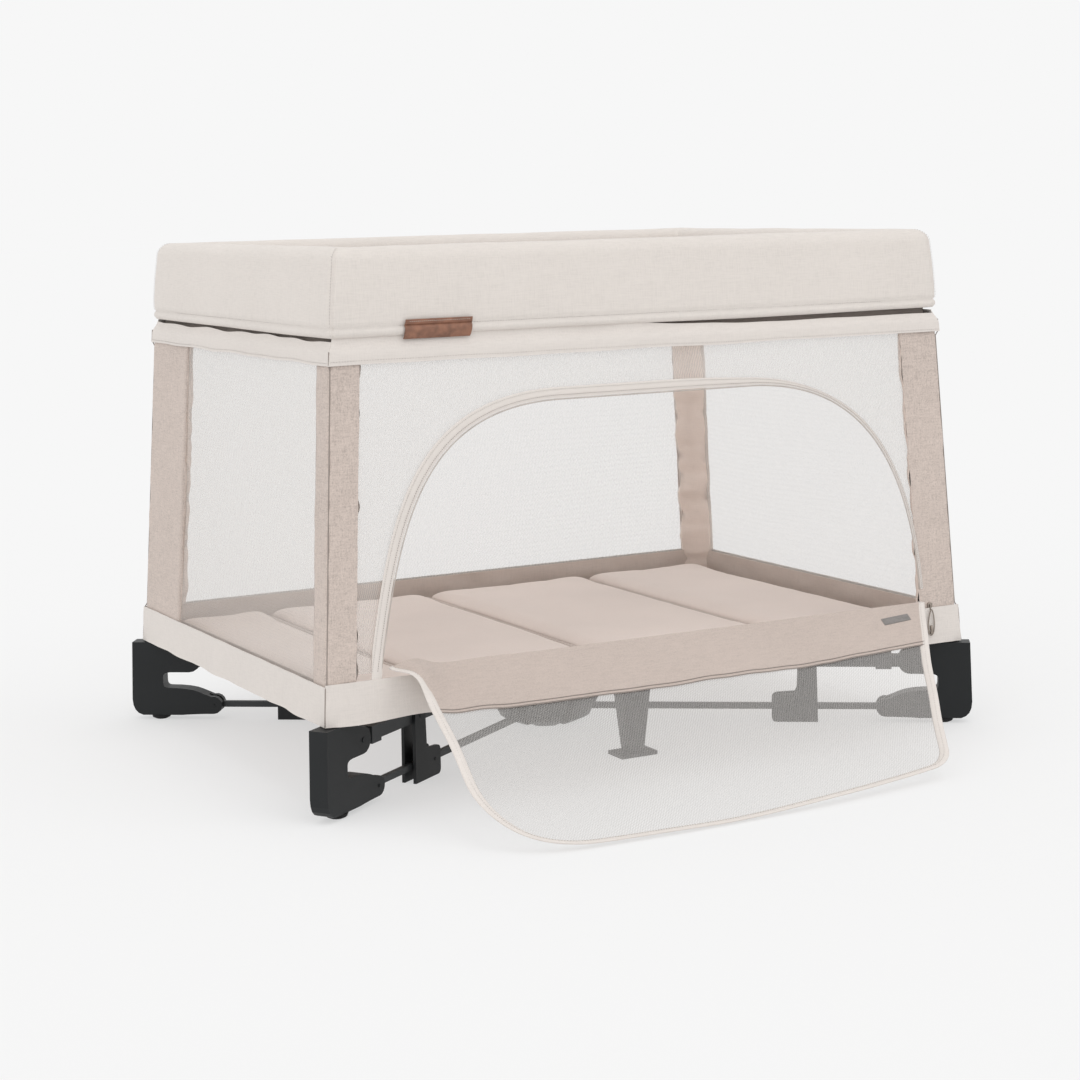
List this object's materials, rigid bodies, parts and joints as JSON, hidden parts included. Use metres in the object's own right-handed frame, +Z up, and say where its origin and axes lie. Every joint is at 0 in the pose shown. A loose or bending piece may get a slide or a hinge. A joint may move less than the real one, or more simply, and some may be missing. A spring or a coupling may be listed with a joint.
{
  "type": "folding playpen",
  "caption": "Rectangular folding playpen with mesh walls, a zipped door laid open, a padded rail cover, a mattress and a fold-up frame on corner legs.",
  "frame": {"origin": "on the floor, at the middle of the hub's flat foot, which is the centre of the four legs", "axes": "+X along the long sides to the right seen from the door, +Y away from the door, +Z up"},
  "size_m": [1.177, 1.1238, 0.804],
  "materials": {
    "frame_plastic": "satin moulded charcoal plastic",
    "link_steel": "black powder coat",
    "frame_tube": "satin tube",
    "foot_rubber": "matt black rubber",
    "button_plastic": "satin grey",
    "cover_fabric": "cream woven fabric with a linen look",
    "mesh_fabric": "fine cream mesh, see-through",
    "base_fabric": "warm beige woven fabric",
    "mattress_fabric": "fine beige twill",
    "zip_metal": "satin nickel",
    "tag_leather": "brown leather with stitching"
  },
  "bodies": {
    "corner_front_left": {"corner_boot_front_left": "frame_plastic", "foot_pad_front_left": "foot_rubber", "corner_post_front_left": "frame_tube", "top_corner_front_left": "frame_plastic", "rail_cover": "cover_fabric", "wall_front": "mesh_fabric", "wall_left": "mesh_fabric", "zip_slider": "zip_metal", "leather_tag": "tag_leather"},
    "corner_front_right": {"corner_boot_front_right": "frame_plastic", "foot_pad_front_right": "foot_rubber", "corner_post_front_right": "frame_tube", "top_corner_front_right": "frame_plastic", "wall_right": "mesh_fabric"},
    "corner_rear_left": {"corner_boot_rear_left": "frame_plastic", "foot_pad_rear_left": "foot_rubber", "corner_post_rear_left": "frame_tube", "top_corner_rear_left": "frame_plastic", "wall_rear": "mesh_fabric"},
    "corner_rear_right": {"corner_boot_rear_right": "frame_plastic", "foot_pad_rear_right": "foot_rubber", "corner_post_rear_right": "frame_tube", "top_corner_rear_right": "frame_plastic"},
    "hub": {"hub_housing": "frame_plastic", "floor_base": "base_fabric"},
    "arm_front_left": {"upper_arm_front_left": "link_steel"},
    "rod_front_left": {"lower_rod_front_left": "link_steel"},
    "mid_leg_front_left": {"mid_leg_front_left": "frame_plastic"},
    "arm_front_right": {"upper_arm_front_right": "link_steel"},
    "rod_front_right": {"lower_rod_front_right": "link_steel"},
    "mid_leg_front_right": {"mid_leg_front_right": "frame_plastic"},
    "arm_rear_left": {"upper_arm_rear_left": "link_steel"},
    "rod_rear_left": {"lower_rod_rear_left": "link_steel"},
    "mid_leg_rear_left": {"mid_leg_rear_left": "frame_plastic"},
    "arm_rear_right": {"upper_arm_rear_right": "link_steel"},
    "rod_rear_right": {"lower_rod_rear_right": "link_steel"},
    "mid_leg_rear_right": {"mid_leg_rear_right": "frame_plastic"},
    "rail_front_left": {"rail_front_left": "frame_tube"},
    "rail_front_right": {"rail_front_right": "frame_tube"},
    "latch_front": {"latch_front": "frame_plastic"},
    "latch_button_front": {"latch_button_front": "button_plastic"},
    "rail_rear_left": {"rail_rear_left": "frame_tube"},
    "rail_rear_right": {"rail_rear_right": "frame_tube"},
    "latch_rear": {"latch_rear": "frame_plastic"},
    "latch_button_rear": {"latch_button_rear": "button_plastic"},
    "rail_left_front": {"rail_left_front": "frame_tube"},
    "rail_left_rear": {"rail_left_rear": "frame_tube"},
    "latch_left": {"latch_left": "frame_plastic"},
    "latch_button_left": {"latch_button_left": "button_plastic"},
    "rail_right_front": {"rail_right_front": "frame_tube"},
    "rail_right_rear": {"rail_right_rear": "frame_tube"},
    "latch_right": {"latch_right": "frame_plastic"},
    "latch_button_right": {"latch_button_right": "button_plastic"},
    "side_strut_front": {"side_strut_front": "link_steel"},
    "side_support_front": {"side_support_front": "frame_plastic"},
    "side_strut_rear": {"side_strut_rear": "link_steel"},
    "side_support_rear": {"side_support_rear": "frame_plastic"},
    "mattress": {"mattress": "mattress_fabric"},
    "door_flap": {"door_flap": "mesh_fabric"},
    "zip_pull": {"zip_pull": "zip_metal"}
  },
  "joints": [
    {"name": "frame_fold", "type": "hinge", "parent": "corner_front_left", "child": "arm_front_left", "pos_m": [-0.49726, -0.34373, 0.102], "axis": [0.5686, -0.8226, 0], "range_deg": [0, 78], "deforming": ["rail_cover", "wall_front", "wall_left", "wall_right", "wall_rear", "floor_base", "mattress", "leather_tag"]},
    {"name": "hub_level", "type": "hinge", "parent": "arm_front_left", "child": "hub", "pos_m": [-0.08226, -0.05686, 0.102], "axis": [0.5686, -0.8226, 0], "range_deg": [-78, 0]},
    {"name": "rod_swing_front_left", "type": "hinge", "parent": "hub", "child": "rod_front_left", "pos_m": [-0.04936, -0.03412, 0.025], "axis": [0.5686, -0.8226, 0], "range_deg": [0, 78]},
    {"name": "mid_leg_level_front_left", "type": "hinge", "parent": "arm_front_left", "child": "mid_leg_front_left", "pos_m": [-0.35741, -0.24706, 0.102], "axis": [0.5686, -0.8226, 0], "range_deg": [-78, 0]},
    {"name": "arm_swing_front_right", "type": "hinge", "parent": "hub", "child": "arm_front_right", "pos_m": [0.08226, -0.05686, 0.102], "axis": [0.5686, 0.8226, 0], "range_deg": [0, 78]},
    {"name": "corner_level_front_right", "type": "hinge", "parent": "arm_front_right", "child": "corner_front_right", "pos_m": [0.49726, -0.34373, 0.102], "axis": [0.5686, 0.8226, 0], "range_deg": [-78, 0]},
    {"name": "rod_swing_front_right", "type": "hinge", "parent": "hub", "child": "rod_front_right", "pos_m": [0.04936, -0.03412, 0.025], "axis": [0.5686, 0.8226, 0], "range_deg": [0, 78]},
    {"name": "mid_leg_level_front_right", "type": "hinge", "parent": "arm_front_right", "child": "mid_leg_front_right", "pos_m": [0.35741, -0.24706, 0.102], "axis": [0.5686, 0.8226, 0], "range_deg": [-78, 0]},
    {"name": "arm_swing_rear_left", "type": "hinge", "parent": "hub", "child": "arm_rear_left", "pos_m": [-0.08226, 0.05686, 0.102], "axis": [-0.5686, -0.8226, 0], "range_deg": [0, 78]},
    {"name": "corner_level_rear_left", "type": "hinge", "parent": "arm_rear_left", "child": "corner_rear_left", "pos_m": [-0.49726, 0.34373, 0.102], "axis": [-0.5686, -0.8226, 0], "range_deg": [-78, 0]},
    {"name": "rod_swing_rear_left", "type": "hinge", "parent": "hub", "child": "rod_rear_left", "pos_m": [-0.04936, 0.03412, 0.025], "axis": [-0.5686, -0.8226, 0], "range_deg": [0, 78]},
    {"name": "mid_leg_level_rear_left", "type": "hinge", "parent": "arm_rear_left", "child": "mid_leg_rear_left", "pos_m": [-0.35741, 0.24706, 0.102], "axis": [-0.5686, -0.8226, 0], "range_deg": [-78, 0]},
    {"name": "arm_swing_rear_right", "type": "hinge", "parent": "hub", "child": "arm_rear_right", "pos_m": [0.08226, 0.05686, 0.102], "axis": [-0.5686, 0.8226, 0], "range_deg": [0, 78]},
    {"name": "corner_level_rear_right", "type": "hinge", "parent": "arm_rear_right", "child": "corner_rear_right", "pos_m": [0.49726, 0.34373, 0.102], "axis": [-0.5686, 0.8226, 0], "range_deg": [-78, 0]},
    {"name": "rod_swing_rear_right", "type": "hinge", "parent": "hub", "child": "rod_rear_right", "pos_m": [0.04936, 0.03412, 0.025], "axis": [-0.5686, 0.8226, 0], "range_deg": [0, 78]},
    {"name": "mid_leg_level_rear_right", "type": "hinge", "parent": "arm_rear_right", "child": "mid_leg_rear_right", "pos_m": [0.35741, 0.24706, 0.102], "axis": [-0.5686, 0.8226, 0], "range_deg": [-78, 0]},
    {"name": "rail_drop_front_left", "type": "hinge", "parent": "corner_front_left", "child": "rail_front_left", "pos_m": [-0.455, -0.34, 0.77], "axis": [0, 1, 0], "range_deg": [0, 78]},
    {"name": "latch_level_front", "type": "hinge", "parent": "rail_front_left", "child": "latch_front", "pos_m": [-0.04, -0.34, 0.77], "axis": [0, 1, 0], "range_deg": [-78, 0]},
    {"name": "rail_drop_front_right", "type": "hinge", "parent": "latch_front", "child": "rail_front_right", "pos_m": [0.04, -0.34, 0.77], "axis": [0, -1, 0], "range_deg": [0, 78]},
    {"name": "button_press_front", "type": "slide", "parent": "latch_front", "child": "latch_button_front", "axis": [0, 0, 1], "range_m": [0, 0.005], "stiffness_N_per_m": 300},
    {"name": "rail_drop_rear_left", "type": "hinge", "parent": "corner_rear_left", "child": "rail_rear_left", "pos_m": [-0.455, 0.34, 0.77], "axis": [0, 1, 0], "range_deg": [0, 78]},
    {"name": "latch_level_rear", "type": "hinge", "parent": "rail_rear_left", "child": "latch_rear", "pos_m": [-0.04, 0.34, 0.77], "axis": [0, 1, 0], "range_deg": [-78, 0]},
    {"name": "rail_drop_rear_right", "type": "hinge", "parent": "latch_rear", "child": "rail_rear_right", "pos_m": [0.04, 0.34, 0.77], "axis": [0, -1, 0], "range_deg": [0, 78]},
    {"name": "button_press_rear", "type": "slide", "parent": "latch_rear", "child": "latch_button_rear", "axis": [0, 0, 1], "range_m": [0, 0.005], "stiffness_N_per_m": 300},
    {"name": "rail_drop_left_front", "type": "hinge", "parent": "corner_front_left", "child": "rail_left_front", "pos_m": [-0.495, -0.312, 0.77], "axis": [-1, 0, 0], "range_deg": [0, 78]},
    {"name": "latch_level_left", "type": "hinge", "parent": "rail_left_front", "child": "latch_left", "pos_m": [-0.495, -0.02514, 0.77], "axis": [-1, 0, 0], "range_deg": [-78, 0]},
    {"name": "rail_drop_left_rear", "type": "hinge", "parent": "latch_left", "child": "rail_left_rear", "pos_m": [-0.495, 0.02514, 0.77], "axis": [1, 0, 0], "range_deg": [0, 78]},
    {"name": "button_press_left", "type": "slide", "parent": "latch_left", "child": "latch_button_left", "axis": [0, 0, 1], "range_m": [0, 0.005], "stiffness_N_per_m": 300},
    {"name": "rail_drop_right_front", "type": "hinge", "parent": "corner_front_right", "child": "rail_right_front", "pos_m": [0.495, -0.312, 0.77], "axis": [-1, 0, 0], "range_deg": [0, 78]},
    {"name": "latch_level_right", "type": "hinge", "parent": "rail_right_front", "child": "latch_right", "pos_m": [0.495, -0.02514, 0.77], "axis": [-1, 0, 0], "range_deg": [-78, 0]},
    {"name": "rail_drop_right_rear", "type": "hinge", "parent": "latch_right", "child": "rail_right_rear", "pos_m": [0.495, 0.02514, 0.77], "axis": [1, 0, 0], "range_deg": [0, 78]},
    {"name": "button_press_right", "type": "slide", "parent": "latch_right", "child": "latch_button_right", "axis": [0, 0, 1], "range_m": [0, 0.005], "stiffness_N_per_m": 300},
    {"name": "side_strut_swing_front", "type": "hinge", "parent": "hub", "child": "side_strut_front", "pos_m": [0, -0.1, 0.102], "axis": [1, 0, 0], "range_deg": [0, 101.4]},
    {"name": "side_support_level_front", "type": "hinge", "parent": "side_strut_front", "child": "side_support_front", "pos_m": [0, -0.287, 0.102], "axis": [1, 0, 0], "range_deg": [-101.4, 0]},
    {"name": "side_strut_swing_rear", "type": "hinge", "parent": "hub", "child": "side_strut_rear", "pos_m": [0, 0.1, 0.102], "axis": [-1, 0, 0], "range_deg": [0, 101.4]},
    {"name": "side_support_level_rear", "type": "hinge", "parent": "side_strut_rear", "child": "side_support_rear", "pos_m": [0, 0.287, 0.102], "axis": [-1, 0, 0], "range_deg": [-101.4, 0]},
    {"name": "mattress_lift", "type": "slide", "parent": "hub", "child": "mattress", "axis": [0, 0, 1], "range_m": [0, 0.2]},
    {"name": "door_swing", "type": "hinge", "parent": "corner_front_left", "child": "door_flap", "pos_m": [0, -0.38536, 0.206], "axis": [-1, 0, 0], "range_deg": [0, 124.43]},
    {"name": "zip_pull_swing", "type": "hinge", "parent": "corner_front_left", "child": "zip_pull", "pos_m": [0.502, -0.39302, 0.194], "axis": [-1, 0, 0], "range_deg": [0, 150]}
  ],
  "couplings": [
    {"joint": "hub_level", "follows": "frame_fold", "ratio": -1},
    {"joint": "rod_swing_front_left", "follows": "frame_fold", "ratio": 1},
    {"joint": "mid_leg_level_front_left", "follows": "frame_fold", "ratio": -1},
    {"joint": "arm_swing_front_right", "follows": "frame_fold", "ratio": 1},
    {"joint": "corner_level_front_right", "follows": "frame_fold", "ratio": -1},
    {"joint": "rod_swing_front_right", "follows": "frame_fold", "ratio": 1},
    {"joint": "mid_leg_level_front_right", "follows": "frame_fold", "ratio": -1},
    {"joint": "arm_swing_rear_left", "follows": "frame_fold", "ratio": 1},
    {"joint": "corner_level_rear_left", "follows": "frame_fold", "ratio": -1},
    {"joint": "rod_swing_rear_left", "follows": "frame_fold", "ratio": 1},
    {"joint": "mid_leg_level_rear_left", "follows": "frame_fold", "ratio": -1},
    {"joint": "arm_swing_rear_right", "follows": "frame_fold", "ratio": 1},
    {"joint": "corner_level_rear_right", "follows": "frame_fold", "ratio": -1},
    {"joint": "rod_swing_rear_right", "follows": "frame_fold", "ratio": 1},
    {"joint": "mid_leg_level_rear_right", "follows": "frame_fold", "ratio": -1},
    {"joint": "rail_drop_front_left", "follows": "frame_fold", "ratio": 1},
    {"joint": "latch_level_front", "follows": "frame_fold", "ratio": -1},
    {"joint": "rail_drop_front_right", "follows": "frame_fold", "ratio": 1},
    {"joint": "rail_drop_rear_left", "follows": "frame_fold", "ratio": 1},
    {"joint": "latch_level_rear", "follows": "frame_fold", "ratio": -1},
    {"joint": "rail_drop_rear_right", "follows": "frame_fold", "ratio": 1},
    {"joint": "rail_drop_left_front", "follows": "frame_fold", "ratio": 1},
    {"joint": "latch_level_left", "follows": "frame_fold", "ratio": -1},
    {"joint": "rail_drop_left_rear", "follows": "frame_fold", "ratio": 1},
    {"joint": "rail_drop_right_front", "follows": "frame_fold", "ratio": 1},
    {"joint": "latch_level_right", "follows": "frame_fold", "ratio": -1},
    {"joint": "rail_drop_right_rear", "follows": "frame_fold", "ratio": 1},
    {"joint": "side_strut_swing_front", "follows": "frame_fold", "ratio": 1.3},
    {"joint": "side_support_level_front", "follows": "frame_fold", "ratio": -1.3},
    {"joint": "side_strut_swing_rear", "follows": "frame_fold", "ratio": 1.3},
    {"joint": "side_support_level_rear", "follows": "frame_fold", "ratio": -1.3},
    {"joint": "mattress_lift", "follows": "frame_fold", "m_per_rad": 0.1469}
  ]
}
